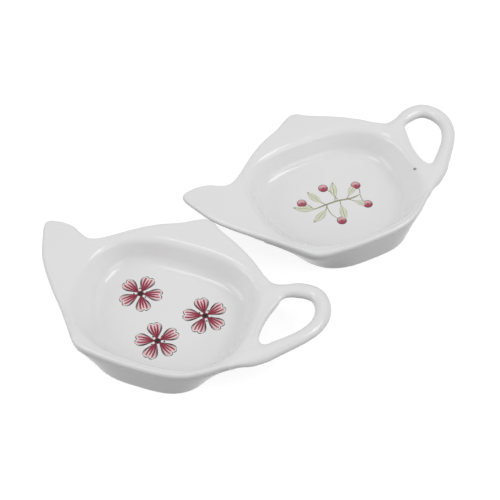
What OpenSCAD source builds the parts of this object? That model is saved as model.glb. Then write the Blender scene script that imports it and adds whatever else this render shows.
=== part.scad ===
// A pair of teapot-shaped tea bag rests in glazed porcelain, with fired-on prints.
// Each rest has its own flat frame: X runs from the spout tip to the handle, Y from the base edge
// to the lid knob, Z up from the table. The pair stands on Z = 0, centred in plan on the origin.

/* [Pot] */
// Length of one pot from the spout tip to the ridge beside the finger hole
pot_length = 102; // [92:1:125]
// Width of one pot from the base edge to the top of the lid knob
pot_width = 78.2; // [70:0.2:95]
// Height of the rim above the table
rim_height = 16; // [13:0.5:24]
// Thickness of the flat plate that makes the spout and the lid
plate_thickness = 3; // [2:0.1:4.5]

/* [Well] */
// From the spout tip to the edge of the well
spout_reach = 25.2; // [22:0.1:32]
// Between the well and the finger hole
ridge_width = 3.6; // [2.6:0.1:7]
// Between the well and the base edge
lip_width = 2.4; // [2:0.1:6]
// From the edge of the well to the top of the lid knob
lid_reach = 14.4; // [12:0.1:19]
// How square the well is: 2 is an ellipse
well_squareness = 2.4; // [2:0.1:3]
// How square the well's corner between the spout and the lid is
spout_corner_squareness = 2.9; // [2:0.1:3.4]
// Depth from the rim to the flat floor
well_depth = 12.3; // [8:0.1:12.8]
// How far the spout and lid slope down towards the well
plate_fall = 0.5; // [0:0.1:1]
// Rounding where the plate turns down into the well
crease_radius = 3; // [1.5:0.1:3.6]
// Rounding between the wall of the well and its floor
floor_radius = 4.5; // [2.5:0.1:5.5]
// Slant of the wall of the well, in degrees from upright
wall_draft = 12; // [6:1:18]
// Thickness of the wall round the well
wall_thickness = 2.5; // [2:0.1:4]

/* [Foot] */
// How much shorter the foot is than the well at each end
foot_end_taper = 6.3; // [3:0.1:8]
// How much wider the foot is than the well at each side
foot_side_flare = 1.8; // [0:0.1:2.4]
// Width of the foot ring
foot_ring_width = 2.4; // [1.8:0.1:4]
// Depth of the hollow inside the foot ring
foot_hollow = 0.8; // [0.4:0.1:1.2]

/* [Handle] */
// How far the handle stands out from the ridge
handle_reach = 22.9; // [19:0.1:30]
// Width of the handle's bar, seen from above
bar_width = 6.5; // [5.4:0.1:8]
// Thickness of the handle's bar, from top to underside
bar_thickness = 5.4; // [4.4:0.1:7]
// How far the top of the bar stands above the rim
bar_rise = 1.2; // [0.2:0.1:2]

/* [Prints] */
// Thickness of the fired-on prints
print_thickness = 0.15; // [0.1:0.05:0.3]
// Width across one blossom
blossom_size = 18; // [14:0.5:20]
// Length of the leaf sprig
sprig_length = 32; // [22:0.5:36]
// Diameter of one berry of the sprig
berry_size = 4.2; // [3:0.1:5.5]
// Bare gap kept between the leaves and the berries
print_gap = 0.3; // [0.1:0.05:0.6]

/* [Pair] */
// Turn of the front rest, in degrees
front_turn = -19.5; // [-30:0.5:-10]
// Turn of the back rest, in degrees
back_turn = 25.3; // [16:0.5:35]
// Direction from the front rest to the back rest across their narrow gap, in degrees
meeting_turn = 54.4; // [50:0.2:58]
// Gap between the front rest's knob and the back rest's spout
pair_gap = 0.5; // [0.3:0.1:6]
// How far the back rest's spout tip reaches past the front rest's knob, along the gap
spout_overrun = 16.1; // [8:0.1:24]

/* [Hidden] */

// Outline of the pot, clockwise from the spout tip, in shares of pot_length and pot_width
pot_outline_shares = [
    // Spout tip, its upper edge and the notch where it meets the lid
    [0.000, 0.678], [0.011, 0.713], [0.045, 0.726], [0.084, 0.728], [0.124, 0.717],
    [0.160, 0.692], [0.193, 0.676], [0.231, 0.689],
    // Lid slope, knob and lid slope
    [0.285, 0.741], [0.354, 0.815], [0.432, 0.882], [0.511, 0.929], [0.565, 0.973],
    [0.594, 0.994], [0.619, 1.000], [0.644, 0.989], [0.677, 0.958], [0.726, 0.924],
    [0.795, 0.874], [0.864, 0.812], [0.918, 0.752], [0.960, 0.722],
    // Ear under the handle's upper root, ridge beside the finger hole, ear under its lower root
    [1.004, 0.729], [1.034, 0.702], [1.022, 0.626], [1.003, 0.541], [0.996, 0.455],
    [1.000, 0.389], [1.020, 0.340], [1.044, 0.295], [1.028, 0.229],
    // Base edge from right to left
    [0.978, 0.171], [0.922, 0.127], [0.853, 0.073], [0.789, 0.030], [0.717, 0.008], [0.628, 0.000],
    [0.530, 0.000], [0.452, 0.008], [0.393, 0.020], [0.350, 0.048],
    // Lower edge of the spout
    [0.295, 0.128], [0.236, 0.213], [0.168, 0.306], [0.104, 0.404], [0.060, 0.487],
    [0.026, 0.584]];
OUTLINE_STEPS = 3;

// Middle line of the handle from its upper root to its lower one: places in shares of
// handle_reach past the ridge and of pot_width, then shares of bar_width and bar_thickness
handle_shares = [
    [-0.300, 0.634, 0.45, 0.40], [-0.110, 0.665, 0.98, 0.86], [0.140, 0.695, 1.10, 1.00],
    [0.400, 0.720, 1.08, 1.00], [0.640, 0.714, 1.07, 1.00], [0.805, 0.665, 1.04, 1.00],
    [0.860, 0.595, 1.00, 1.00], [0.815, 0.520, 0.98, 1.00], [0.680, 0.450, 0.97, 1.00],
    [0.500, 0.390, 1.00, 1.00], [0.325, 0.335, 1.08, 1.00], [0.130, 0.287, 1.22, 1.00],
    [-0.092, 0.238, 0.88, 0.90], [-0.249, 0.193, 0.47, 0.45]];
HANDLE_STEPS = 3;
SECTION_SIDES = 16;
// Turns the sections by half a side, so that no corner runs along their highest line
SECTION_PHASE_SHARE = 0.5;

COVE_STEPS = 2;
EDGE_STEPS = 4;
CREASE_STEPS = 3;
FILLET_STEPS = 4;
SEARCH_STEPS = 18;
// Closest that the wall comes to the plate's edge, as a share of the way to it
WALL_LIMIT_SHARE = 0.995;

edge_radius = plate_thickness / 2;
cove_radius = plate_thickness / 2;
rim_underside = rim_height - plate_thickness;
floor_height = rim_height - well_depth;

well_half = [(pot_length - spout_reach - ridge_width) / 2, (pot_width - lip_width - lid_reach) / 2];
well_middle = [spout_reach + well_half[0], lip_width + well_half[1]];
foot_half = [well_half[0] - foot_end_taper, well_half[1] + foot_side_flare];
// All rings of the pot lie on spokes from here, low enough that no spoke leaves the spout
hub_shares = [0.58, 0.31];
hub = [hub_shares[0] * pot_length, hub_shares[1] * pot_width];

// Curve through p1 and p2 at t from 0 to 1, shaped by their neighbours
function through(p0, p1, p2, p3, t) =
    p1 + (p2 - p0) * t / 2 + (2 * p0 - 5 * p1 + 4 * p2 - p3) * t * t / 2
    + (3 * p1 - p0 - 3 * p2 + p3) * t * t * t / 2;
function closed_curve(points, steps) = let (n = len(points)) [
    for (i = [0 : n - 1], k = [0 : steps - 1])
        through(points[(i + n - 1) % n], points[i], points[(i + 1) % n], points[(i + 2) % n], k / steps)];
function open_curve(points, steps) = let (n = len(points)) [
    for (i = [0 : n - 2], k = [0 : i == n - 2 ? steps : steps - 1])
        through(points[max(i - 1, 0)], points[i], points[i + 1], points[min(i + 2, n - 1)], k / steps)];

pot_points = [for (p = pot_outline_shares) [p[0] * pot_length, p[1] * pot_width]];
pot_outline = closed_curve(pot_points, OUTLINE_STEPS);

// Each point of a clockwise closed line moved inwards by an inset
function unit(v) = v / norm(v);
function inset_line(line, inset) = let (n = len(line)) [
    for (i = [0 : n - 1])
        let (along = unit(line[(i + 1) % n] - line[(i + n - 1) % n]))
        line[i] + inset * [along[1], -along[0]]];
plate_line = inset_line(pot_outline, edge_radius);

// Share of the way from the hub to a point at which the spoke meets a rounded square ring
function squareness_at(d) = d[0] < 0 && d[1] > 0 ? spout_corner_squareness : well_squareness;
function ring_value(p, half) =
    let (d = p - well_middle, power = squareness_at(d))
    pow(abs(d[0]) / half[0], power) + pow(abs(d[1]) / half[1], power);
function spoke_share(end, half, low = 0, high = 1, step = 0) =
    let (middle = (low + high) / 2)
    step == SEARCH_STEPS ? middle
    : ring_value(hub + middle * (end - hub), half) > 1 ? spoke_share(end, half, low, middle, step + 1)
    : spoke_share(end, half, middle, high, step + 1);

// Rings of the pot: a line in plan carried to a height
function at_height(line, z) = [for (p = line) [p[0], p[1], z]];
function spoke_ring(half, z) = [
    for (end = plate_line)
        let (share = min(spoke_share(end, half), WALL_LIMIT_SHARE), p = hub + share * (end - hub))
        [p[0], p[1], z]];
function grown(half, by) = [half[0] + by, half[1] + by];

foot_rings = [
    spoke_ring(grown(foot_half, -foot_ring_width), foot_hollow),
    spoke_ring(grown(foot_half, -foot_ring_width), 0),
    spoke_ring(foot_half, 0)];

// Cove between the wall and the underside of the plate
cove_rings = [
    for (k = [0 : COVE_STEPS])
        let (turn = 90 * k / COVE_STEPS)
        spoke_ring(grown(well_half, wall_thickness + cove_radius * (1 - cos(turn))),
                   rim_underside - cove_radius * (1 - sin(turn)))];

edge_rings = [
    for (k = [0 : EDGE_STEPS])
        let (turn = 180 * k / EDGE_STEPS)
        at_height(inset_line(pot_outline, edge_radius * (1 - sin(turn))),
                  rim_underside + edge_radius * (1 - cos(turn)))];

// Side of the well: a rounded crease, a slanting wall and a wide fillet, as [inset, depth]
crease_turn = 90 - wall_draft;
crease_end = crease_radius * [sin(crease_turn), 1 - cos(crease_turn)];
fillet_size = floor_radius * [sin(crease_turn), 1 - cos(crease_turn)];
wall_run = (well_depth - plate_fall - crease_end[1] - fillet_size[1]) * tan(wall_draft);
floor_inset = crease_end[0] + wall_run + fillet_size[0];
crease_profile = [
    for (k = [0 : CREASE_STEPS])
        let (turn = crease_turn * k / CREASE_STEPS)
        [crease_radius * sin(turn), plate_fall + crease_radius * (1 - cos(turn))]];
fillet_profile = [
    for (k = [0 : FILLET_STEPS])
        let (turn = crease_turn * (1 - k / FILLET_STEPS))
        [floor_inset - floor_radius * sin(turn), well_depth - floor_radius * (1 - cos(turn))]];
well_rings = [
    for (step = concat(crease_profile, fillet_profile))
        spoke_ring(grown(well_half, -step[0]), rim_height - step[1])];

// Closed skin over a stack of rings, the first and the last closed by flat caps
module ring_stack(rings) {
    last = len(rings) - 1;
    n = len(rings[0]);
    points = [for (ring = rings, p = ring) p];
    bottom = [for (i = [0 : n - 1]) n - 1 - i];
    top = [for (i = [0 : n - 1]) last * n + i];
    sides = [
        for (j = [0 : last - 1], i = [0 : n - 1], half = [0, 1])
            let (a = j * n + i, b = j * n + (i + 1) % n)
            half == 0 ? [a, b, b + n] : [a, b + n, a + n]];
    polyhedron(points, concat([bottom], sides, [top]), convexity = 6);
}

// Handle: one skin swept over oval sections along its middle line
handle_line = open_curve([
    for (s = handle_shares)
        [pot_length + s[0] * handle_reach, s[1] * pot_width, s[2] * bar_width, s[3] * bar_thickness]],
    HANDLE_STEPS);
handle_last = len(handle_line) - 1;
bar_height = rim_height + bar_rise - bar_thickness / 2;
function bar_side(i) =
    let (along = handle_line[min(i + 1, handle_last)] - handle_line[max(i - 1, 0)])
    unit([along[1], -along[0]]);
function bar_section(i) =
    let (bar = handle_line[i], side = bar_side(i))
    [for (k = [0 : SECTION_SIDES - 1])
        let (turn = 360 * (k + SECTION_PHASE_SHARE) / SECTION_SIDES, out = bar[2] / 2 * cos(turn))
        [bar[0] + side[0] * out, bar[1] + side[1] * out, bar_height + bar[3] / 2 * sin(turn)]];

module handle() {
    ring_stack([for (i = [0 : handle_last]) bar_section(i)]);
}

module pot() {
    ring_stack(concat(foot_rings, cove_rings, edge_rings, well_rings));
}

module rest() {
    union() {
        pot();
        handle();
    }
}

// Places of the two rests in plan
function turned(p, turn) = [p[0] * cos(turn) - p[1] * sin(turn), p[0] * sin(turn) + p[1] * cos(turn)];
function turned_line(line, turn) = [for (p = line) turned(p, turn)];
handle_edges = [
    for (i = [0 : handle_last], side = [-1, 1])
        let (bar = handle_line[i]) [bar[0], bar[1]] + side * bar[2] / 2 * bar_side(i)];
whole_outline = concat(pot_outline, handle_edges);
front_line = turned_line(whole_outline, front_turn);
back_line = turned_line(whole_outline, back_turn);

// Across the gap the two outlines are kept apart, and along it the spout tip passes the knob
across = [cos(meeting_turn), sin(meeting_turn)];
beside = [-sin(meeting_turn), cos(meeting_turn)];
front_reach = max([for (p = front_line) p * across]);
back_reach = min([for (p = back_line) p * across]);
knob_top = [for (p = front_line) if (p * across == front_reach) p][0];
spout_tip = back_line[0];
back_shift = across * (front_reach + pair_gap - back_reach)
    + beside * (knob_top * beside + spout_overrun - spout_tip * beside);

pair_line = concat(front_line, [for (p = back_line) p + back_shift]);
pair_low = [min([for (p = pair_line) p[0]]), min([for (p = pair_line) p[1]])];
pair_high = [max([for (p = pair_line) p[0]]), max([for (p = pair_line) p[1]])];
pair_middle = (pair_low + pair_high) / 2;

module place_front() {
    translate(-pair_middle) rotate(front_turn) children();
}
module place_back() {
    translate(back_shift - pair_middle) rotate(back_turn) children();
}

// Prints, each in its own frame round its middle, in shares of half its size
petal_shares = [
    [0.10, 0.00], [0.26, 0.13], [0.48, 0.29], [0.72, 0.37], [0.93, 0.27], [1.00, 0.12],
    [0.91, 0.00],
    [1.00, -0.12], [0.93, -0.27], [0.72, -0.37], [0.48, -0.29], [0.26, -0.13]];
PETAL_COUNT = 5;
PETAL_STEPS = 3;
blossom_heart_share = 0.18;
DOT_SIDES = 32;

module blossom() {
    linear_extrude(print_thickness) {
        for (k = [0 : PETAL_COUNT - 1])
            rotate(360 * k / PETAL_COUNT)
                polygon(closed_curve(petal_shares * (blossom_size / 2), PETAL_STEPS));
        circle(d = blossom_heart_share * blossom_size, $fn = DOT_SIDES);
    }
}

// Each leaf: [place along, place across, turn, length] in shares of sprig_length
leaf_table_shares = [
    [-0.30, -0.02, 158, 0.30], [-0.18, 0.06, 118, 0.27], [-0.16, -0.07, 214, 0.29],
    [0.02, 0.09, 78, 0.28], [0.05, -0.05, 262, 0.27], [0.20, 0.07, 44, 0.25],
    [0.24, -0.03, 318, 0.24]];
leaf_outline_shares = [
    [0.00, 0.00], [0.25, 0.13], [0.55, 0.18], [0.82, 0.10], [1.00, 0.00],
    [0.82, -0.10], [0.55, -0.18], [0.25, -0.13]];
stem_shares = [[-0.32, -0.02], [-0.14, 0.01], [0.04, 0.03], [0.22, 0.02], [0.36, 0.05]];
stem_width_share = 0.022;
LEAF_STEPS = 4;
STEM_STEPS = 5;

module leaf(length) {
    polygon(closed_curve(leaf_outline_shares * length, LEAF_STEPS));
}

module stem() {
    line = open_curve(stem_shares * sprig_length, STEM_STEPS);
    half = stem_width_share * sprig_length / 2;
    last = len(line) - 1;
    sides = [
        for (i = [0 : last])
            let (along = unit(line[min(i + 1, last)] - line[max(i - 1, 0)])) half * [-along[1], along[0]]];
    there = [for (i = [0 : last]) line[i] + sides[i]];
    back = [for (i = [last : -1 : 0]) line[i] - sides[i]];
    polygon(concat(there, back));
}

// Berries: places in shares of sprig_length
berry_table_shares = [[-0.08, 0.30], [0.36, 0.22], [0.40, -0.14], [-0.03, -0.31], [-0.44, 0.13]];

module berries(diameter) {
    for (b = berry_table_shares)
        translate(b * sprig_length) circle(d = diameter, $fn = DOT_SIDES);
}

module sprig_leaves() {
    linear_extrude(print_thickness)
        difference() {
            union() {
                stem();
                for (l = leaf_table_shares)
                    translate([l[0], l[1]] * sprig_length) rotate(l[2]) leaf(l[3] * sprig_length);
            }
            berries(berry_size + 2 * print_gap);
        }
}

module sprig_berries() {
    linear_extrude(print_thickness) berries(berry_size);
}

// Middles of the prints, in shares of the room that each has on the flat floor, then their turns
floor_half = [well_half[0] - floor_inset, well_half[1] - floor_inset];
blossom_left_shares = [-0.78, 0.62];
blossom_right_shares = [0.72, 0.50];
blossom_low_shares = [0.02, -0.85];
sprig_shares = [0.00, -0.06];
blossom_turns = [14, -20, 50];
sprig_turn = -8;

module on_floor(shares, size, turn) {
    room = floor_half - [size, size] / 2;
    translate([well_middle[0] + shares[0] * room[0], well_middle[1] + shares[1] * room[1], floor_height])
        rotate(turn) children();
}

module front_rest() {
    color("whitesmoke") place_front() rest();
}
module front_blossom_left() {
    color("palevioletred") place_front()
        on_floor(blossom_left_shares, blossom_size, blossom_turns[0]) blossom();
}
module front_blossom_right() {
    color("palevioletred") place_front()
        on_floor(blossom_right_shares, blossom_size, blossom_turns[1]) blossom();
}
module front_blossom_low() {
    color("palevioletred") place_front()
        on_floor(blossom_low_shares, blossom_size, blossom_turns[2]) blossom();
}
module back_rest() {
    color("whitesmoke") place_back() rest();
}
module back_sprig_leaves() {
    color("darkseagreen") place_back() on_floor(sprig_shares, sprig_length, sprig_turn) sprig_leaves();
}
module back_sprig_berries() {
    color("indianred") place_back() on_floor(sprig_shares, sprig_length, sprig_turn) sprig_berries();
}

front_rest();
front_blossom_left();
front_blossom_right();
front_blossom_low();
back_rest();
back_sprig_leaves();
back_sprig_berries();
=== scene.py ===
"""Two teapot-shaped porcelain tea bag rests with fired-on prints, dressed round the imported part."""

import math

import bpy
import numpy as np
from mathutils import Matrix, Vector
from mathutils.bvhtree import BVHTree


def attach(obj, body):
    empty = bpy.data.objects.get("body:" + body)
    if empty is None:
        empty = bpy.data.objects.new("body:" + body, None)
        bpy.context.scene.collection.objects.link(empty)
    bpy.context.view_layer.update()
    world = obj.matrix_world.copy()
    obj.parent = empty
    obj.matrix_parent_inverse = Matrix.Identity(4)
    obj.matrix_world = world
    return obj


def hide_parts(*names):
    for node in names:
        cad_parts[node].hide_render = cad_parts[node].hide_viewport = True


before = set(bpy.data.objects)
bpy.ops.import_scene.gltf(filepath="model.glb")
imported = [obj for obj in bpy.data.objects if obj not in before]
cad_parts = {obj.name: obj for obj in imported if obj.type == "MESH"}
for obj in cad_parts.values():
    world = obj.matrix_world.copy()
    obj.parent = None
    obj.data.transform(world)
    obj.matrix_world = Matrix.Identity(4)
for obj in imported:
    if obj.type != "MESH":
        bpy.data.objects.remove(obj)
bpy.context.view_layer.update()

MM = 0.001

# Sizes of one rest in millimetres, as in the part's source
POT_LENGTH = 102
POT_WIDTH = 78.2
RIM_HEIGHT = 16
PLATE_THICKNESS = 3
SPOUT_REACH = 25.2
RIDGE_WIDTH = 3.6
LIP_WIDTH = 2.4
LID_REACH = 14.4
WELL_DEPTH = 12.3
PLATE_FALL = 0.5
CREASE_RADIUS = 3
FLOOR_RADIUS = 4.5
WALL_DRAFT = math.radians(12)
WALL_THICKNESS = 2.5
FOOT_RING_WIDTH = 2.4
FOOT_HOLLOW = 0.8
HANDLE_REACH = 22.9
BAR_WIDTH = 6.5
BAR_THICKNESS = 5.4
BAR_RISE = 1.2
BLOSSOM_SIZE = 18
SPRIG_LENGTH = 32
BERRY_SIZE = 4.2
# The fired colour, thinner than the solid prints that it stands for
PRINT_THICKNESS = 0.1

# Turn of each rest on the table, and where the corner of its own frame lies in the row
FRONT_TURN = math.radians(-19.5)
BACK_TURN = math.radians(25.3)
FRONT_PLACE = (-104.8923, -47.4015)
BACK_PLACE = (-7.5687, -31.7563)

# Outline of the teapot as shares of its length and width, from the spout's tip round the lid
POT_OUTLINE = [
    (0.000, 0.678), (0.011, 0.713), (0.045, 0.726), (0.084, 0.728), (0.124, 0.717),
    (0.160, 0.692), (0.193, 0.676), (0.231, 0.689),
    (0.285, 0.741), (0.354, 0.815), (0.432, 0.882), (0.511, 0.929), (0.565, 0.973),
    (0.594, 0.994), (0.619, 1.000), (0.644, 0.989), (0.677, 0.958), (0.726, 0.924),
    (0.795, 0.874), (0.864, 0.812), (0.918, 0.752), (0.960, 0.722),
    (1.004, 0.729), (1.046, 0.710), (1.052, 0.676), (1.026, 0.636), (1.003, 0.541), (0.994, 0.455),
    (0.996, 0.385), (1.010, 0.353), (1.034, 0.343), (1.048, 0.310), (1.026, 0.245),
    (0.972, 0.188), (0.917, 0.144), (0.852, 0.076), (0.789, 0.030), (0.717, 0.008), (0.628, 0.000),
    (0.530, 0.000), (0.452, 0.007), (0.389, 0.018), (0.346, 0.046),
    (0.292, 0.127), (0.236, 0.213), (0.168, 0.306), (0.104, 0.404), (0.060, 0.487),
    (0.026, 0.584)]
# Middle line of the handle: along and across, width, thickness, and how far it sinks into the plate in mm
HANDLE_LINE = [
    (-0.300, 0.634, 0.45, 0.40, 0.0), (-0.110, 0.665, 0.98, 0.86, 0.2), (0.140, 0.701, 0.96, 1.00, 0.1),
    (0.400, 0.7245, 0.98, 1.00, 0.0), (0.640, 0.717, 1.00, 1.00, 0.0), (0.800, 0.666, 1.00, 1.00, 0.0),
    (0.856, 0.596, 0.97, 0.96, -0.1), (0.808, 0.522, 0.91, 0.90, -0.27), (0.672, 0.4545, 0.88, 0.90, -0.27),
    (0.495, 0.394, 0.92, 0.92, -0.1), (0.322, 0.344, 1.01, 0.96, 0.2), (0.137, 0.294, 1.18, 1.00, 0.7),
    (-0.074, 0.250, 1.22, 0.92, 1.3), (-0.260, 0.210, 0.80, 0.55, 0.9)]
# Where all spokes of the dish's rings start, in the well
HUB = np.array((0.58 * POT_LENGTH, 0.31 * POT_WIDTH))

# Steps of the render's own mesh: between the outline's points, round the rim and along the handle
OUTLINE_STEPS = 9
UNDER_STEPS, RIM_STEPS, CREASE_STEPS, FILLET_STEPS = 6, 13, 12, 16
BAR_STEPS = 10
BAR_SIDES = 48
# Joining pot and handle: voxel and reach of the soft roots in mm, rounds of evening out
VOXEL = 0.52
ROOT_REACH = 3.2
ROOT_PASSES = 60
RELAX_ROUNDS = 3
RELAX_PASSES = 3
RELAX_SHARE = 0.5


def hex_colour(code):
    """sRGB hex to the linear colour that a shader takes."""
    parts = [int(code[i:i + 2], 16) / 255 for i in (1, 3, 5)]
    return [c / 12.92 if c <= 0.04045 else ((c + 0.055) / 1.055) ** 2.4 for c in parts] + [1.0]


def node(tree, kind, sockets=(), **settings):
    """A node with its settings, its values and its links."""
    made = tree.nodes.new(kind)
    for name, value in settings.items():
        setattr(made, name, value)
    for key, value in dict(sockets).items():
        if isinstance(value, bpy.types.NodeSocket):
            tree.links.new(value, made.inputs[key])
        else:
            made.inputs[key].default_value = value
    return made


def eased(share):
    """A share that is held between 0 and 1 and sets off and stops softly."""
    share = np.clip(share, 0, 1)
    return share * share * (3 - 2 * share)


def through(p0, p1, p2, p3, t):
    """Point at t from 0 to 1 of the curve from p1 to p2."""
    return (p1 + (p2 - p0) * t / 2 + (2 * p0 - 5 * p1 + 4 * p2 - p3) * t * t / 2
            + (3 * p1 - p0 - 3 * p2 + p3) * t ** 3 / 2)


def closed_curve(points, steps):
    """A smooth closed line through points."""
    p = np.array(points, float)
    n = len(p)
    return np.array([through(p[i - 1], p[i], p[(i + 1) % n], p[(i + 2) % n], k / steps)
                     for i in range(n) for k in range(steps)])


def open_curve(points, steps):
    """A smooth open line through points."""
    p = np.array(points, float)
    n = len(p)
    line = [through(p[max(i - 1, 0)], p[i], p[i + 1], p[min(i + 2, n - 1)], k / steps)
            for i in range(n - 1) for k in range(steps)]
    return np.array(line + [p[-1]])


def inset_line(line, inset):
    """A closed line moved inwards, by one distance or by one for each point."""
    along = np.roll(line, -1, 0) - np.roll(line, 1, 0)
    along /= np.linalg.norm(along, axis=1)[:, None]
    return line + inset * np.stack((along[:, 1], -along[:, 0]), 1)


def ring_stack(rings):
    """Closed skin over rings of equal count, as points and faces."""
    n = len(rings[0])
    last = len(rings) - 1
    faces = [[j * n + i, j * n + (i + 1) % n, (j + 1) * n + (i + 1) % n, (j + 1) * n + i]
             for j in range(last) for i in range(n)]
    faces.append([n - 1 - i for i in range(n)])
    faces.append([last * n + i for i in range(n)])
    return np.concatenate(rings), faces


# Near and far corners of the glazed well and of the foot in mm, and how square their corners are:
# near and far at the spout, then near and far at the handle
GLAZED_WELL = ((22.6, 1.7), (99.2, 64.8), (2.4, 2.8, 2.6, 2.8))
FOOT_PLAN = ((33.2, 1.5), (88.2, 65.6), (2.7, 2.9, 3.2, 2.4))
FOOT_ROUND = 0.4
# Radii of the glazed crease, which is tighter on the near side, and of the fillet round the floor
GLAZED_CREASE, NEAR_CREASE = 3.6, 2.6
GLAZED_FLOOR = 5.2
# How far out a ring is looked for along its spoke, in how many halvings, and how near the rim it may come
FARTHEST, HALVINGS, NEAREST = 1.3, 24, 0.995
# Fullness of the outer wall's near side in mm, and the sector from the well's middle that has it
BELLY = 1.8
BELLY_MIDDLE, BELLY_HALF, BELLY_FADE = math.radians(-91), math.radians(35), math.radians(20)
# Shares of the spoke between which the overhang fades out, and how much of the edge's radius goes
FLUSH = (0.95, 1.03)
FLUSH_DEPTH = 0.8
# Slope of the glazed wall from the vertical: steep on the far side, easier towards the spout and the handle
STEEP_WALL = math.radians(12)
SPOUT_EASE, SPOUT_FACING, SPOUT_NARROW = math.radians(30), math.radians(203), 2.5
HANDLE_EASE, HANDLE_FACING, HANDLE_NARROW = math.radians(18), math.radians(-24), 2

well_half = np.array(((POT_LENGTH - SPOUT_REACH - RIDGE_WIDTH) / 2, (POT_WIDTH - LIP_WIDTH - LID_REACH) / 2))
well_middle = np.array((SPOUT_REACH + well_half[0], LIP_WIDTH + well_half[1]))
edge_radius = PLATE_THICKNESS / 2
rim_underside = RIM_HEIGHT - PLATE_THICKNESS
floor_height = RIM_HEIGHT - WELL_DEPTH


def inset_of_floor(crease_radius, floor_radius, draft):
    """From the well's edge to its flat floor, across the crease, the drafted wall and the fillet."""
    both = crease_radius + floor_radius
    drop = WELL_DEPTH - PLATE_FALL - both * (1 - np.sin(draft))
    return both * np.cos(draft) + drop * np.tan(draft)


def pot_skin():
    """The dish with its spout and lid: rings on spokes from one hub."""
    outline = closed_curve(np.array(POT_OUTLINE) * (POT_LENGTH, POT_WIDTH), OUTLINE_STEPS)
    plate_line = inset_line(outline, edge_radius)

    def reach(plan, inset):
        """Where a plan's edge crosses each spoke, as a share of the way to the plate's line."""
        half = (np.array(plan[1]) - plan[0]) / 2 - np.c_[inset, inset]
        centre = (np.array(plan[1]) + plan[0]) / 2
        low = np.zeros(len(plate_line))
        high = np.full(len(plate_line), FARTHEST)
        for _ in range(HALVINGS):
            middle = (low + high) / 2
            d = HUB + middle[:, None] * (plate_line - HUB) - centre
            square = np.array(plan[2])[2 * (d[:, 0] > 0) + (d[:, 1] > 0)]
            past = (abs(d / half) ** square[:, None]).sum(1) > 1
            high = np.where(past, middle, high)
            low = np.where(past, low, middle)
        return (low + high) / 2

    def spoke_ring(plan, inset, z, line=plate_line):
        """A plan's edge at one height, kept inside a line."""
        limit = np.linalg.norm(line - HUB, axis=1) / np.linalg.norm(plate_line - HUB, axis=1)
        share = np.minimum(reach(plan, inset), NEAREST * limit)
        return np.c_[HUB + share[:, None] * (plate_line - HUB), np.full(len(plate_line), z)]

    out = plate_line - (np.array(GLAZED_WELL[1]) + GLAZED_WELL[0]) / 2
    facing = np.arctan2(out[:, 1], out[:, 0])
    off_middle = abs((facing - BELLY_MIDDLE + math.pi) % (2 * math.pi) - math.pi)
    belly = eased(1 - (off_middle - BELLY_HALF) / BELLY_FADE)
    wall_out = WALL_THICKNESS + BELLY * belly
    # Where the outer wall reaches the plate's line, its top runs up into the rim with no overhang
    flush = eased((reach(GLAZED_WELL, -wall_out - edge_radius) - FLUSH[0]) / (FLUSH[1] - FLUSH[0]))
    tuck = (1 - FLUSH_DEPTH * flush)[:, None]
    under_line = inset_line(outline, edge_radius * tuck)

    draft = (STEEP_WALL + SPOUT_EASE * np.clip(np.cos(facing - SPOUT_FACING), 0, 1) ** SPOUT_NARROW
             + HANDLE_EASE * np.clip(np.cos(facing - HANDLE_FACING), 0, 1) ** HANDLE_NARROW)
    crease = GLAZED_CREASE + (NEAR_CREASE - GLAZED_CREASE) * belly

    # From under the foot ring up the outer wall, round the rim, and down into the well
    rings = [spoke_ring(FOOT_PLAN, inset, z) for inset, z in (
        (FOOT_RING_WIDTH, FOOT_HOLLOW), (FOOT_RING_WIDTH, FOOT_ROUND), (FOOT_RING_WIDTH - FOOT_ROUND, 0),
        (FOOT_ROUND, 0), (0, FOOT_ROUND))]
    for turn in np.linspace(0, math.pi / 2, UNDER_STEPS):
        rings.append(spoke_ring(GLAZED_WELL, -wall_out - edge_radius * (1 - math.cos(turn)),
                                rim_underside - edge_radius * (1 - math.sin(turn)), under_line))
    for turn in np.linspace(0, math.pi, RIM_STEPS):
        line = inset_line(outline, edge_radius * (1 - math.sin(turn)) * (tuck if turn < math.pi / 2 else 1))
        rings.append(np.c_[line, np.full(len(line), rim_underside + edge_radius * (1 - math.cos(turn)))])
    for turn in np.linspace(0, math.pi / 2 - draft, CREASE_STEPS):
        rings.append(spoke_ring(GLAZED_WELL, crease * np.sin(turn),
                                RIM_HEIGHT - PLATE_FALL - crease * (1 - np.cos(turn))))
    floor_inset = inset_of_floor(crease, GLAZED_FLOOR, draft)
    for turn in np.linspace(math.pi / 2 - draft, 0, FILLET_STEPS):
        rings.append(spoke_ring(GLAZED_WELL, floor_inset - GLAZED_FLOOR * np.sin(turn),
                                floor_height + GLAZED_FLOOR * (1 - np.cos(turn))))
    return ring_stack(rings)


def handle_skin():
    """The loop handle: oval sections along its middle line."""
    shares = np.array(HANDLE_LINE)
    bar = open_curve(np.c_[POT_LENGTH + shares[:, 0] * HANDLE_REACH, shares[:, 1] * POT_WIDTH,
                           shares[:, 2] * BAR_WIDTH, shares[:, 3] * BAR_THICKNESS, shares[:, 4]], BAR_STEPS)
    along = np.array([bar[min(i + 1, len(bar) - 1), :2] - bar[max(i - 1, 0), :2] for i in range(len(bar))])
    along /= np.linalg.norm(along, axis=1)[:, None]
    height = RIM_HEIGHT + BAR_RISE - BAR_THICKNESS / 2
    turns = 2 * math.pi * (np.arange(BAR_SIDES) + 0.5) / BAR_SIDES
    rings = []
    for place, way in zip(bar, along):
        out = place[2] / 2 * np.cos(turns)
        rings.append(np.c_[place[0] + way[1] * out, place[1] - way[0] * out,
                           height - place[4] + place[3] / 2 * np.sin(turns)])
    return ring_stack(rings)


def mesh_from(name, points, faces):
    mesh = bpy.data.meshes.new(name)
    mesh.from_pydata([tuple(p) for p in points], [], [tuple(f) for f in faces])
    mesh.update()
    return mesh


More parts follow.
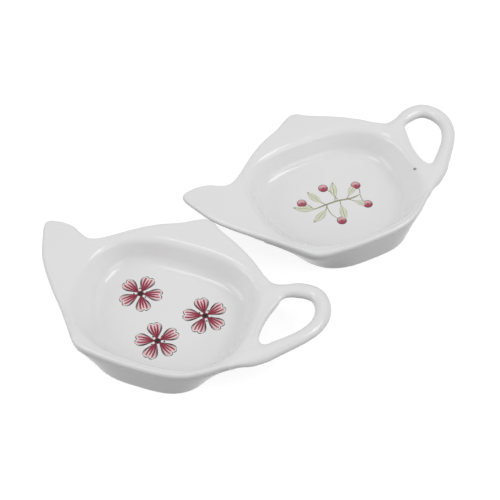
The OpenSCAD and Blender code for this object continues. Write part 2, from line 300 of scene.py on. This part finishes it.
def plain_copy(obj):
    """The evaluated object as a plain mesh with no modifiers."""
    graph = bpy.context.evaluated_depsgraph_get()
    graph.update()
    return bpy.data.meshes.new_from_object(obj.evaluated_get(graph), depsgraph=graph)


def rest_mesh():
    """One rest in its own frame: pot and handle joined in one skin, with soft roots where they meet."""
    pot, handle = pot_skin(), handle_skin()
    count = len(pot[0])
    both = mesh_from("rest_parts", np.concatenate((pot[0], handle[0])),
                     pot[1] + [[i + count for i in f] for f in handle[1]])
    obj = bpy.data.objects.new("rest_parts", both)
    bpy.context.scene.collection.objects.link(obj)
    remesh = obj.modifiers.new("joined", "REMESH")
    remesh.mode = "VOXEL"
    remesh.voxel_size = VOXEL
    skin = plain_copy(obj)
    bpy.data.objects.remove(obj)
    points = np.array([v.co for v in skin.vertices], float)
    trees = [BVHTree.FromPolygons([tuple(p) for p in part[0]], part[1]) for part in (pot, handle)]

    def on_skin(places):
        """The nearest spots on either skin, and how far the other skin is."""
        hits = [[tree.find_nearest(p) for p in places] for tree in trees]
        spots = np.array([[tuple(h[0]) for h in row] for row in hits])
        away = np.array([[h[3] for h in row] for row in hits])
        return spots[np.argmin(away, axis=0), np.arange(len(places))], np.max(away, axis=0)

    edges = np.array([e.vertices[:] for e in skin.edges])
    degree = np.bincount(edges.ravel(), minlength=len(points))[:, None]

    def neighbours(values):
        """The mean of each point's neighbours along the edges."""
        total = np.zeros_like(values)
        np.add.at(total, edges[:, 0], values[edges[:, 1]])
        np.add.at(total, edges[:, 1], values[edges[:, 0]])
        return total / degree

    for _ in range(RELAX_ROUNDS):
        for _ in range(RELAX_PASSES):
            points = points + RELAX_SHARE * (neighbours(points) - points)
        points, other = on_skin(points)
    soft = eased(1 - other / ROOT_REACH)
    for _ in range(ROOT_PASSES):
        points += RELAX_SHARE * soft[:, None] * (neighbours(points) - points)
    skin.vertices.foreach_set("co", points.ravel())
    skin.update()
    return skin


def smooth(mesh):
    mesh.polygons.foreach_set("use_smooth", [True] * len(mesh.polygons))
    mesh.update()


def placing(turn, place):
    """From millimetres in a rest's own frame to metres in the row's."""
    return (Matrix.Scale(MM, 4) @ Matrix.Translation((place[0], place[1], 0))
            @ Matrix.Rotation(turn, 4, "Z"))


# Sizes in mm of the glaze's clouds, of its ripple from crest to crest, and of the bare clay's grain
CLOUD_SIZE, RIPPLE_SIZE, GRAIN_SIZE = 25, 6.25, 0.4


def glazed_porcelain(name, shift, speck):
    # White slip-cast porcelain under a clear gloss glaze: broad soft highlights, faintly uneven
    material = bpy.data.materials.new(name)
    material.use_nodes = True
    tree = material.node_tree
    tree.nodes.clear()
    where = node(tree, "ShaderNodeTexCoord").outputs["Object"]
    shifted = node(tree, "ShaderNodeMapping", {"Vector": where, "Location": (shift, -shift, 0)}).outputs[0]
    # Clouds in the glaze's thickness
    cloud = node(tree, "ShaderNodeTexNoise", {"Vector": shifted, "Scale": 1 / (CLOUD_SIZE * MM),
                                              "Detail": 2}).outputs["Fac"]
    glaze = node(tree, "ShaderNodeMix", {0: cloud, 6: hex_colour("#EEEEEE"), 7: hex_colour("#F2F2F2")},
                 data_type="RGBA").outputs[2]
    # Bare clay where the foot ring was wiped before firing, up to 0.5 mm
    height = node(tree, "ShaderNodeSeparateXYZ", {0: where}).outputs["Z"]
    bare = node(tree, "ShaderNodeMapRange", {"Value": height, "From Min": 0.4 * MM, "From Max": 0.6 * MM,
                                             "To Min": 1, "To Max": 0}).outputs[0]
    grain = node(tree, "ShaderNodeTexNoise", {"Vector": where, "Scale": 1 / (GRAIN_SIZE * MM)}).outputs["Fac"]
    clay = node(tree, "ShaderNodeMix", {0: grain, 6: hex_colour("#D9D4C9"), 7: hex_colour("#E7E3DA")},
                data_type="RGBA").outputs[2]
    colour = node(tree, "ShaderNodeMix", {0: bare, 6: glaze, 7: clay}, data_type="RGBA").outputs[2]
    # One brown iron speck in the glaze, about 2 mm long and half as wide
    flat = node(tree, "ShaderNodeMapping", {"Vector": where, "Location": speck, "Scale": (1, 0.5, 1),
                                            "Rotation": (0, 0, math.radians(-40))},
                vector_type="TEXTURE").outputs[0]
    reach = node(tree, "ShaderNodeVectorMath", {0: flat}, operation="LENGTH").outputs["Value"]
    fleck = node(tree, "ShaderNodeMapRange", {"Value": reach, "From Min": 0.4 * MM, "From Max": 1.3 * MM,
                                              "To Min": 0.9, "To Max": 0}).outputs[0]
    colour = node(tree, "ShaderNodeMix", {0: fleck, 6: colour, 7: hex_colour("#3E3833")},
                  data_type="RGBA").outputs[2]
    shine = node(tree, "ShaderNodeMapRange", {"Value": cloud, "To Min": 0.12, "To Max": 0.18}).outputs[0]
    rough = node(tree, "ShaderNodeMix", {0: bare, 2: shine, 3: 0.75}).outputs[0]
    # Ripple of the glaze, a few hundredths of a millimetre high
    ripple = node(tree, "ShaderNodeTexNoise", {"Vector": shifted, "Scale": 1 / (RIPPLE_SIZE * MM),
                                               "Detail": 1}).outputs["Fac"]
    bump = node(tree, "ShaderNodeBump", {"Height": ripple, "Strength": 0.08,
                                         "Distance": 0.3 * MM}).outputs[0]
    body = node(tree, "ShaderNodeBsdfPrincipled", {"Base Color": colour, "Roughness": rough, "IOR": 1.57,
                                                   "Normal": bump})
    node(tree, "ShaderNodeOutputMaterial", {"Surface": body.outputs[0]})
    return material


rest_skin = rest_mesh()
smooth(rest_skin)
# Where the iron speck lies on each rest, in its own frame: under the front one's lid, in the back one's well
SPECKS = {"front": (58, 70, 13), "back": (96.5, 27.4, 14.0)}
# How far the clouds are shifted in metres, so that no two rests have the same ones
CLOUD_SHIFTS = {"front": 0.3, "back": 0.7}
RESTS = {"front": (FRONT_TURN, FRONT_PLACE), "back": (BACK_TURN, BACK_PLACE)}
for body, (turn, place) in RESTS.items():
    mesh = rest_skin.copy()
    mesh.transform(placing(turn, place))
    speck = placing(turn, place) @ Vector(SPECKS[body])
    mesh.materials.append(glazed_porcelain("glazed_porcelain_" + body, CLOUD_SHIFTS[body], speck))
    rest = bpy.data.objects.new(body + "_glazed_rest", mesh)
    bpy.context.scene.collection.objects.link(rest)
    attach(rest, body)
    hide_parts(body + "_rest")

# Prints on the flat floor of each well
floor_half = well_half - inset_of_floor(CREASE_RADIUS, FLOOR_RADIUS, WALL_DRAFT)

# Steps of a petal or leaf along and across, of a dot outwards and round, and of a painted line
ROWS, COLUMNS = 14, 10
DOT_RINGS, DOT_SIDES = 5, 24
LINE_STEPS = 8
# Thickness at the edge of a petal and of a dot as a share of the middle's, and how fast a petal's ends rise
PETAL_EDGE, DOT_EDGE = 0.4, 0.35
END_RISE = 6
# Middle of a dot in its print coordinates, in which it is one wide
DOT_MIDDLE = (0.5, 0.5, 0)
# A painted line's ends: how narrow they start, as a share of its width, and how fast they widen
LINE_TIP, LINE_TAPER = 0.3, 4
# Section of a painted line, across and up, from one foot over its crown to the other
LINE_SECTION = [(-1, 0), (-1, 0.5), (0, 1), (1, 0.5), (1, 0)]


def petal_grid(name, half_widths, tip, bend=0.0):
    """A closed petal or leaf one unit long, domed across, with u across it and v along it."""
    profile = open_curve(half_widths, LINE_STEPS)
    points, coordinates = [], []
    for level in (1, 0):
        for j in range(ROWS + 1):
            v = j / ROWS
            half = np.interp(v, profile[:, 0], profile[:, 1])
            for i in range(COLUMNS + 1):
                u = 2 * i / COLUMNS - 1
                x = v * tip(u)
                ends = min(1, END_RISE * v, END_RISE * (1 - v) + PETAL_EDGE)
                rise = level * (PETAL_EDGE + (1 - PETAL_EDGE) * (1 - u ** 4) * ends)
                points.append((x, u * half + bend * x * (1 - x), rise))
                coordinates.append((i / COLUMNS, v))
    wide = COLUMNS + 1
    count = wide * (ROWS + 1)
    faces = []
    for j in range(ROWS):
        for i in range(COLUMNS):
            a = j * wide + i
            faces.append((a, a + wide, a + wide + 1, a + 1))
            faces.append((count + a, count + a + 1, count + a + wide + 1, count + a + wide))
    rim = (list(range(wide)) + [j * wide + COLUMNS for j in range(1, ROWS + 1)]
           + [ROWS * wide + i for i in range(COLUMNS - 1, -1, -1)]
           + [j * wide for j in range(ROWS - 1, 0, -1)])
    for a, b in zip(rim, rim[1:] + rim[:1]):
        faces.append((a, b, count + b, count + a))
    return with_coordinates(mesh_from(name, points, faces), coordinates)


def with_coordinates(mesh, coordinates):
    """The mesh with its print coordinates, one pair for each point."""
    layer = mesh.uv_layers.new(name="print_uv")
    for loop in mesh.loops:
        layer.data[loop.index].uv = coordinates[loop.vertex_index]
    return mesh


def dot_grid(name):
    """A closed dot of diameter one, domed, its print coordinates laid flat over it."""
    spots = [(math.cos(2 * math.pi * i / DOT_SIDES) / 2, math.sin(2 * math.pi * i / DOT_SIDES) / 2)
             for i in range(DOT_SIDES)]
    points = [(0, 0, 1)]
    for r in (j / DOT_RINGS for j in range(1, DOT_RINGS + 1)):
        points += [(r * x, r * y, DOT_EDGE + (1 - DOT_EDGE) * (1 - r ** 3)) for x, y in spots]
    points += [(x, y, 0) for x, y in spots]
    faces = [(0, 1 + i, 1 + (i + 1) % DOT_SIDES) for i in range(DOT_SIDES)]
    for j in range(DOT_RINGS):
        for i in range(DOT_SIDES):
            a, b = 1 + j * DOT_SIDES + i, 1 + j * DOT_SIDES + (i + 1) % DOT_SIDES
            faces.append((a, a + DOT_SIDES, b + DOT_SIDES, b))
    faces.append([1 + DOT_RINGS * DOT_SIDES + i for i in range(DOT_SIDES - 1, -1, -1)])
    coordinates = [(p[0] + DOT_MIDDLE[0], p[1] + DOT_MIDDLE[1]) for p in points]
    return with_coordinates(mesh_from(name, points, faces), coordinates)


def stroke(name, line, width, height):
    """A painted line of a given width that follows points, as a closed strip."""
    line = open_curve(line, LINE_STEPS)
    along = np.gradient(line, axis=0)
    along /= np.linalg.norm(along, axis=1)[:, None]
    side = np.stack((-along[:, 1], along[:, 0]), 1) * width / 2
    last = len(line) - 1
    n = len(LINE_SECTION)
    points, coordinates, faces = [], [], []
    for k in range(last + 1):
        fade = min(1, LINE_TAPER * k / last + LINE_TIP, LINE_TAPER * (last - k) / last + LINE_TIP)
        for share, rise in LINE_SECTION:
            spot = line[k] + share * fade * side[k]
            points.append((spot[0], spot[1], rise * height))
            coordinates.append(((share + 1) / 2, k / last))
    for k in range(last):
        for i in range(n):
            a, b = n * k + i, n * k + (i + 1) % n
            faces.append((a, a + n, b + n, b))
    faces.append(list(range(n)))
    faces.append([n * last + i for i in range(n - 1, -1, -1)])
    return with_coordinates(mesh_from(name, points, faces), coordinates)


def geometry_tree(name, inputs):
    """A Geometry Nodes tree with named inputs, and the outputs that give them."""
    tree = bpy.data.node_groups.new(name, "GeometryNodeTree")
    tree.interface.new_socket(name="Geometry", in_out="INPUT", socket_type="NodeSocketGeometry")
    for label, kind in inputs.items():
        tree.interface.new_socket(name=label, in_out="INPUT", socket_type="NodeSocket" + kind)
    tree.interface.new_socket(name="Geometry", in_out="OUTPUT", socket_type="NodeSocketGeometry")
    return tree, node(tree, "NodeGroupInput").outputs


def made_by(tree, name, base, values):
    """The plain mesh that a tree makes from a base mesh, its inputs set by their identifiers."""
    obj = bpy.data.objects.new(name, base)
    bpy.context.scene.collection.objects.link(obj)
    work = obj.modifiers.new(name, "NODES")
    work.node_group = tree
    for item in tree.interface.items_tree:
        if item.in_out == "INPUT" and item.name in values:
            work[item.identifier] = values[item.name]
    made = plain_copy(obj)
    obj.modifiers.remove(work)
    bpy.data.objects.remove(obj)
    return made


def spread_tree(name):
    """Copies of a piece at the base mesh's points, turned and sized by the points' own values."""
    tree, given = geometry_tree(name, {"Piece": "Object", "Height": "Float", "Print": "Material"})
    turn = node(tree, "GeometryNodeInputNamedAttribute", {"Name": "turn"}).outputs[0]
    size = node(tree, "GeometryNodeInputNamedAttribute", {"Name": "size"}).outputs[0]
    piece = node(tree, "GeometryNodeObjectInfo", {"Object": given["Piece"]}).outputs["Geometry"]
    facing = node(tree, "ShaderNodeCombineXYZ", {"Z": turn}).outputs[0]
    spin = node(tree, "FunctionNodeEulerToRotation", {0: facing}).outputs[0]
    scale = node(tree, "ShaderNodeCombineXYZ", {"X": size, "Y": size, "Z": given["Height"]}).outputs[0]
    copies = node(tree, "GeometryNodeInstanceOnPoints", {"Points": given["Geometry"], "Instance": piece,
                                                         "Rotation": spin, "Scale": scale}).outputs[0]
    whole = node(tree, "GeometryNodeRealizeInstances", {0: copies}).outputs[0]
    printed = node(tree, "GeometryNodeSetMaterial", {"Geometry": whole,
                                                     "Material": given["Print"]}).outputs[0]
    node(tree, "NodeGroupOutput", {0: printed})
    return tree


def point_mesh(name, places):
    """Points with a turn and a size each: (x, y, turn, size)."""
    mesh = mesh_from(name, [(p[0], p[1], 0) for p in places], [])
    for k, label in ((2, "turn"), (3, "size")):
        mesh.attributes.new(label, "FLOAT", "POINT").data.foreach_set("value", [p[k] for p in places])
    return mesh


def joined(name, meshes):
    """One mesh of several, each with its own material."""
    objects = [bpy.data.objects.new(name, m) for m in meshes]
    for o in objects:
        bpy.context.scene.collection.objects.link(o)
    with bpy.context.temp_override(active_object=objects[0], object=objects[0],
                                   selected_editable_objects=objects, selected_objects=objects):
        bpy.ops.object.join()
    mesh = objects[0].data
    bpy.data.objects.remove(objects[0])
    return mesh


def print_material(name, paint):
    """Fired-on colour under the same gloss as the glaze, painted from the print's own coordinates."""
    material = bpy.data.materials.new(name)
    material.use_nodes = True
    tree = material.node_tree
    tree.nodes.clear()
    uv = node(tree, "ShaderNodeUVMap", uv_map="print_uv").outputs[0]
    parts = node(tree, "ShaderNodeSeparateXYZ", {0: uv}).outputs
    colour = paint(tree, uv, parts["X"], parts["Y"])
    body = node(tree, "ShaderNodeBsdfPrincipled", {"Base Color": colour, "Roughness": 0.14, "IOR": 1.52})
    node(tree, "ShaderNodeOutputMaterial", {"Surface": body.outputs[0]})
    return material


def coats(tree, ground, layers):
    """Coats of colour over a ground, each at its strength where its measures go from none to full."""
    colour = hex_colour(ground)
    for code, strength, *measures in layers:
        for measure, none, full in measures:
            strength = node(tree, "ShaderNodeMapRange", {"Value": measure, "From Min": none,
                                                         "From Max": full, "To Max": strength},
                            interpolation_type="SMOOTHSTEP").outputs[0]
        colour = node(tree, "ShaderNodeMix", {0: strength, 6: colour, 7: hex_colour(code)},
                      data_type="RGBA").outputs[2]
    return colour


def painted_petal(tree, uv, u, v):
    # Crimson at the heart, paling to an off-white margin, with fine dark and pale strokes that fan out
    across = node(tree, "ShaderNodeMath", {0: u, 1: 2, 2: -1}, operation="MULTIPLY_ADD").outputs[0]
    side = node(tree, "ShaderNodeMath", {0: across}, operation="ABSOLUTE").outputs[0]
    fan = node(tree, "ShaderNodeMapping", {"Vector": uv, "Scale": (6, 1.3, 1)}).outputs[0]
    hand = node(tree, "ShaderNodeTexNoise", {"Vector": fan, "Scale": 1, "Detail": 2}).outputs["Fac"]
    wash = node(tree, "ShaderNodeMath", {0: hand, 1: 0.5, 2: v}, operation="MULTIPLY_ADD").outputs[0]
    # Distance from the edge as a share of the petal's length, which is 8.5 mm
    from_side = node(tree, "ShaderNodeMath", {0: side, 1: -0.34, 2: 0.34},
                     operation="MULTIPLY_ADD").outputs[0]
    from_tip = node(tree, "ShaderNodeMath", {0: v, 1: -0.9, 2: 0.9}, operation="MULTIPLY_ADD").outputs[0]
    edge = node(tree, "ShaderNodeMath", {0: from_side, 1: from_tip}, operation="MINIMUM").outputs[0]
    # Five strokes, 1.3 mm apart where the petal is widest, bent a little by the painter's hand
    spread_out = node(tree, "ShaderNodeMath", {0: u, 1: 30}, operation="MULTIPLY").outputs[0]
    bent = node(tree, "ShaderNodeMath", {0: hand, 1: 4, 2: spread_out}, operation="MULTIPLY_ADD").outputs[0]
    strokes = node(tree, "ShaderNodeMath", {0: bent}, operation="SINE").outputs[0]
    return coats(tree, "#A02843", [
        ("#C04C65", 1, (wash, 0.35, 0.85)),
        ("#D98C98", 1, (wash, 0.85, 1.2)),
        ("#F0DCDC", 1, (strokes, 0.3, 0.8), (wash, 0.6, 1.0)),
        ("#F2EAE8", 1, (edge, 0.11, 0.07)),
        ("#3A141F", 1, (strokes, -0.35, -0.8), (wash, 1.25, 0.8)),
        ("#4A3A40", 1, (edge, 0.042, 0.028))])


def painted_heart(tree, uv, u, v):
    # Near-black stamens with a plum rim
    away = node(tree, "ShaderNodeVectorMath", {0: uv, 1: DOT_MIDDLE}, operation="DISTANCE").outputs["Value"]
    return coats(tree, "#2B1620", [("#5A2233", 1, (away, 0.15, 0.475))])


def painted_leaf(tree, uv, u, v):
    # Pale yellow-green wash with a darker rib, faint veins and a thin rosy-grey outline
    across = node(tree, "ShaderNodeMath", {0: u, 1: 2, 2: -1}, operation="MULTIPLY_ADD").outputs[0]
    side = node(tree, "ShaderNodeMath", {0: across}, operation="ABSOLUTE").outputs[0]
    hand = node(tree, "ShaderNodeTexNoise", {"Vector": uv, "Scale": 3.5, "Detail": 2}).outputs["Fac"]
    # Seven veins a side, 1.3 mm apart and slanting to the tip
    slant = node(tree, "ShaderNodeMath", {0: side, 1: -0.22, 2: v}, operation="MULTIPLY_ADD").outputs[0]
    order = node(tree, "ShaderNodeMath", {0: slant, 1: 7}, operation="MULTIPLY").outputs[0]
    vein = node(tree, "ShaderNodeMath", {0: order}, operation="FRACT").outputs[0]
    margin = node(tree, "ShaderNodeMath", {0: side, 1: v}, operation="MAXIMUM").outputs[0]
    return coats(tree, "#D6DBBE", [
        ("#EAECDD", 1, (hand, 0.35, 0.65)),
        ("#B2B896", 0.35, (vein, 0.8, 0.92)),
        ("#A3A986", 1, (side, 0.14, 0.05)),
        ("#A58E8B", 0.8, (margin, 0.84, 0.93))])


def painted_stem(tree, uv, u, v):
    # Brownish green, darker to one side
    return coats(tree, "#A9AB8A", [("#847A66", 1, (u, 0.3, 0.9))])


def painted_berry(tree, uv, u, v):
    # Rose berry, paler on the side that the painter left light, with a dark eye and a dark crimson rim
    light = node(tree, "ShaderNodeMath", {0: u, 1: 0.45, 2: v}, operation="MULTIPLY_ADD").outputs[0]
    away = node(tree, "ShaderNodeVectorMath", {0: uv, 1: DOT_MIDDLE}, operation="DISTANCE").outputs["Value"]
    return coats(tree, "#A9485C", [
        ("#E4B4BA", 1, (light, 0.5, 1.05)),
        ("#3B1822", 1, (away, 0.1, 0.05)),
        ("#5E2232", 1, (away, 0.41, 0.475))])


spread = spread_tree("spread_over_points")


def spread_pieces(name, piece_mesh, places, material, height=PRINT_THICKNESS):
    """One mesh of a piece at each place, in one fired colour."""
    piece = bpy.data.objects.new(name + "_piece", piece_mesh)
    made = made_by(spread, name, point_mesh(name + "_points", places),
                   {"Piece": piece, "Height": height, "Print": material})
    bpy.data.objects.remove(piece)
    return made


def on_floor(shares, size, turn):
    """A print's place on the well's flat floor, as shares of the room that it has from the middle."""
    room = floor_half - size / 2
    spot = well_middle + np.array(shares) * room
    return Matrix.Translation((spot[0], spot[1], floor_height)) @ Matrix.Rotation(turn, 4, "Z")


def show_print(name, mesh, body, place_on_floor):
    """A print moved onto its rest's floor, riding with the rest and standing for the solid print."""
    smooth(mesh)
    mesh.transform(placing(*RESTS[body]) @ place_on_floor)
    shown = bpy.data.objects.new(name + "_print", mesh)
    bpy.context.scene.collection.objects.link(shown)
    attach(shown, body)
    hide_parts(name)


# Thickness of the colours laid over others, as shares of the first one's
HEART_LAYER, STEM_LAYER, STALK_LAYER, BERRY_LAYER = 1.35, 1.3, 1.2, 1.45

# Blossoms: place on the floor and turn in degrees of each
BLOSSOMS = {"left": ((-0.78, 0.62), 14), "right": ((0.72, 0.50), -20), "low": ((0.02, -0.85), 50)}
PETALS, STAMENS = 5, 11
# As shares of the blossom's radius: where petals start, clear of one another, then stamens and heart
PETAL_START, STAMEN_RING, STAMEN_SIZE, HEART_SIZE = 0.06, 0.30, 0.075, 0.3
# Half width of a petal at shares of its length, and the notch in its tip with the fall of its corners
PETAL_WIDTHS = [(0, 0.03), (0.12, 0.06), (0.3, 0.17), (0.55, 0.31), (0.75, 0.36), (0.9, 0.33), (1, 0.25)]
NOTCH_DEPTH, NOTCH_HALF, CORNER_FALL = 0.09, 0.4, 0.06


def petal_tip(u):
    """How long a petal is from its middle to its sides, as a share."""
    return 1 - NOTCH_DEPTH * max(0, 1 - abs(u) / NOTCH_HALF) ** 1.5 - CORNER_FALL * abs(u) ** 4


def around(radius, angles, size):
    """Places on a ring, turned outwards."""
    return [(radius * math.cos(a), radius * math.sin(a), a, size) for a in angles]


petal = petal_grid("petal", PETAL_WIDTHS, petal_tip)
dot = dot_grid("dot")
petal_print = print_material("fired_crimson_petal", painted_petal)
heart_print = print_material("fired_plum_stamen", painted_heart)
half = BLOSSOM_SIZE / 2
petal_turns = [2 * math.pi * k / PETALS for k in range(PETALS)]
# The stamens stand a little unevenly, as if set by hand
stamen_turns = [2 * math.pi * (k + 0.3 * math.sin(5 * k)) / STAMENS for k in range(STAMENS)]
for name, (shares, turn) in BLOSSOMS.items():
    petals = spread_pieces("petals", petal, around(PETAL_START * half, petal_turns, (1 - PETAL_START) * half),
                           petal_print)
    stamens = around(STAMEN_RING * half, stamen_turns, STAMEN_SIZE * half) + [(0, 0, 0, HEART_SIZE * half)]
    heart = spread_pieces("stamens", dot, stamens, heart_print, HEART_LAYER * PRINT_THICKNESS)
    show_print("front_blossom_" + name, joined("blossom", [petals, heart]), "front",
               on_floor(shares, BLOSSOM_SIZE, math.radians(turn)))

# Sprig, as shares of its length: half widths of a leaf, and each leaf's place, turn in degrees and size
LEAF_WIDTHS = [(0, 0.01), (0.12, 0.07), (0.3, 0.145), (0.5, 0.175), (0.72, 0.14), (0.9, 0.06), (1, 0.006)]
LEAVES = [(-0.30, -0.02, 158, 0.30), (-0.18, 0.06, 118, 0.27), (-0.16, -0.07, 214, 0.29),
          (0.02, 0.09, 78, 0.28), (0.05, -0.05, 262, 0.27), (0.20, 0.07, 44, 0.25), (0.24, -0.03, 318, 0.24)]
LEAF_BEND = 0.12
STEM = [(-0.32, -0.02), (-0.14, 0.01), (0.04, 0.03), (0.22, 0.02), (0.36, 0.05)]
STEM_WIDTH = 0.022
BERRIES = [(-0.08, 0.30), (0.36, 0.22), (0.40, -0.14), (-0.03, -0.31), (-0.44, 0.13)]
BERRY_TURN = 0.4
# Stalks: width in mm, bow of a berry's, and how far a leaf's runs on behind the leaf and into it
STALK_WIDTH = 0.3
STALK_BOW, STALK_BEHIND, STALK_INTO = 0.12, 0.07, 0.02
SPRIG_SHARES, SPRIG_TURN = (0, -0.06), math.radians(-8)


def nearest(points, spot):
    """The point that lies closest to a spot."""
    return min(points, key=lambda p: math.hypot(p[0] - spot[0], p[1] - spot[1]))


leaf = petal_grid("leaf", LEAF_WIDTHS, lambda u: 1, bend=LEAF_BEND)
leaf_print = print_material("fired_pale_green_leaf", painted_leaf)
stem_print = print_material("fired_olive_stem", painted_stem)
berry_print = print_material("fired_rose_berry", painted_berry)
leaf_places = [(x * SPRIG_LENGTH, y * SPRIG_LENGTH, math.radians(turn), size * SPRIG_LENGTH)
               for x, y, turn, size in LEAVES]
berry_places = [(x * SPRIG_LENGTH, y * SPRIG_LENGTH, BERRY_TURN, BERRY_SIZE) for x, y in BERRIES]
leaves = spread_pieces("leaves", leaf, leaf_places, leaf_print)
berries = spread_pieces("berries", dot, berry_places, berry_print, BERRY_LAYER * PRINT_THICKNESS)
stalks = []
for x, y in BERRIES:
    root = nearest(STEM, (x, y))
    bow = ((x + root[0]) / 2 + STALK_BOW * (y - root[1]), (y + root[1]) / 2 - STALK_BOW * (x - root[0]))
    stalks.append([root, bow, (x, y)])
stem_line = open_curve(STEM, LINE_STEPS)
for x, y, turn, _ in LEAVES:
    way = np.array((math.cos(math.radians(turn)), math.sin(math.radians(turn))))
    stalks.append([nearest(stem_line, (x, y) - STALK_BEHIND * way), (x, y) + STALK_INTO * way])
strokes = [stroke("stem", np.array(STEM) * SPRIG_LENGTH, STEM_WIDTH * SPRIG_LENGTH,
                  STEM_LAYER * PRINT_THICKNESS)]
strokes += [stroke("stalk", np.array(line) * SPRIG_LENGTH, STALK_WIDTH, STALK_LAYER * PRINT_THICKNESS)
            for line in stalks]
for line in strokes:
    line.materials.append(stem_print)
sprig_place = on_floor(SPRIG_SHARES, SPRIG_LENGTH, SPRIG_TURN)
show_print("back_sprig_leaves", joined("sprig", [leaves] + strokes), "back", sprig_place)
show_print("back_sprig_berries", berries, "back", sprig_place)

# Floor: pale matt paper, white to the camera, with the rests' shadow left on it
floor_mesh = mesh_from("studio_floor", [(-3, -3, 0), (3, -3, 0), (3, 3, 0), (-3, 3, 0)], [(0, 1, 2, 3)])
floor = bpy.data.objects.new("studio_floor", floor_mesh)
bpy.context.scene.collection.objects.link(floor)
paper = bpy.data.materials.new("white_paper_sweep")
paper.use_nodes = True
tree = paper.node_tree
tree.nodes.clear()
rays = node(tree, "ShaderNodeLightPath").outputs
lit = node(tree, "ShaderNodeBsdfDiffuse", {"Color": hex_colour("#484848")}).outputs[0]
faint = node(tree, "ShaderNodeBsdfDiffuse", {"Color": hex_colour("#8C8C8C")}).outputs[0]
glow = node(tree, "ShaderNodeEmission", {"Color": (1, 1, 1, 1), "Strength": 0.87}).outputs[0]
seen = node(tree, "ShaderNodeAddShader", {0: faint, 1: glow}).outputs[0]
seen_or_mirrored = node(tree, "ShaderNodeMath", {0: rays["Is Camera Ray"],
                                                 1: rays["Is Glossy Ray"]}).outputs[0]
shown = node(tree, "ShaderNodeMath", {0: seen_or_mirrored, 1: rays["Is Transmission Ray"]},
             use_clamp=True).outputs[0]
surface = node(tree, "ShaderNodeMixShader", {0: shown, 1: lit, 2: seen}).outputs[0]
node(tree, "ShaderNodeOutputMaterial", {"Surface": surface})
floor_mesh.materials.append(paper)

# World: an even white studio that fills the shadows
world = bpy.data.worlds.new("white_studio")
bpy.context.scene.world = world
world.use_nodes = True
tree = world.node_tree
tree.nodes.clear()
sky = node(tree, "ShaderNodeBackground", {"Color": (1, 1, 1, 1), "Strength": 0.52}).outputs[0]
node(tree, "ShaderNodeOutputWorld", {"Surface": sky})


def softbox(name, place, width, height, power):
    """A lamp in metres and watts that faces the middle of the row."""
    light = bpy.data.lights.new(name, "AREA")
    light.shape = "RECTANGLE"
    light.size = width
    light.size_y = height
    light.energy = power
    obj = bpy.data.objects.new(name, light)
    bpy.context.scene.collection.objects.link(obj)
    obj.location = place
    obj.rotation_euler = (math.atan2(math.hypot(place[0], place[1]), place[2]), 0,
                          math.atan2(place[0], -place[1]))


# Key light from the upper right, a weaker one from the upper left, and two low ones for the outer walls
softbox("softbox_left", (-0.48, 0, 1.12), 0.42, 0.42, 1.35)
softbox("softbox_right", (0.85, -0.05, 1.05), 0.50, 0.46, 3.1)
softbox("softbox_front", (1.15, -0.75, 0.6), 1.0, 0.7, 2.8)
softbox("softbox_side", (-1.2, -0.1, 0.65), 0.9, 0.7, 3.1)

# Camera at the photograph's viewing angle
camera_data = bpy.data.cameras.new("camera")
camera_data.sensor_width = 36
camera_data.lens = 92.56
camera = bpy.data.objects.new("camera", camera_data)
camera.location = (-0.00256, -0.33641, 0.42035)
camera.rotation_euler = (math.radians(38.79), 0, 0)
bpy.context.scene.collection.objects.link(camera)
bpy.context.scene.camera = camera
bpy.context.scene.view_settings.view_transform = "Standard"
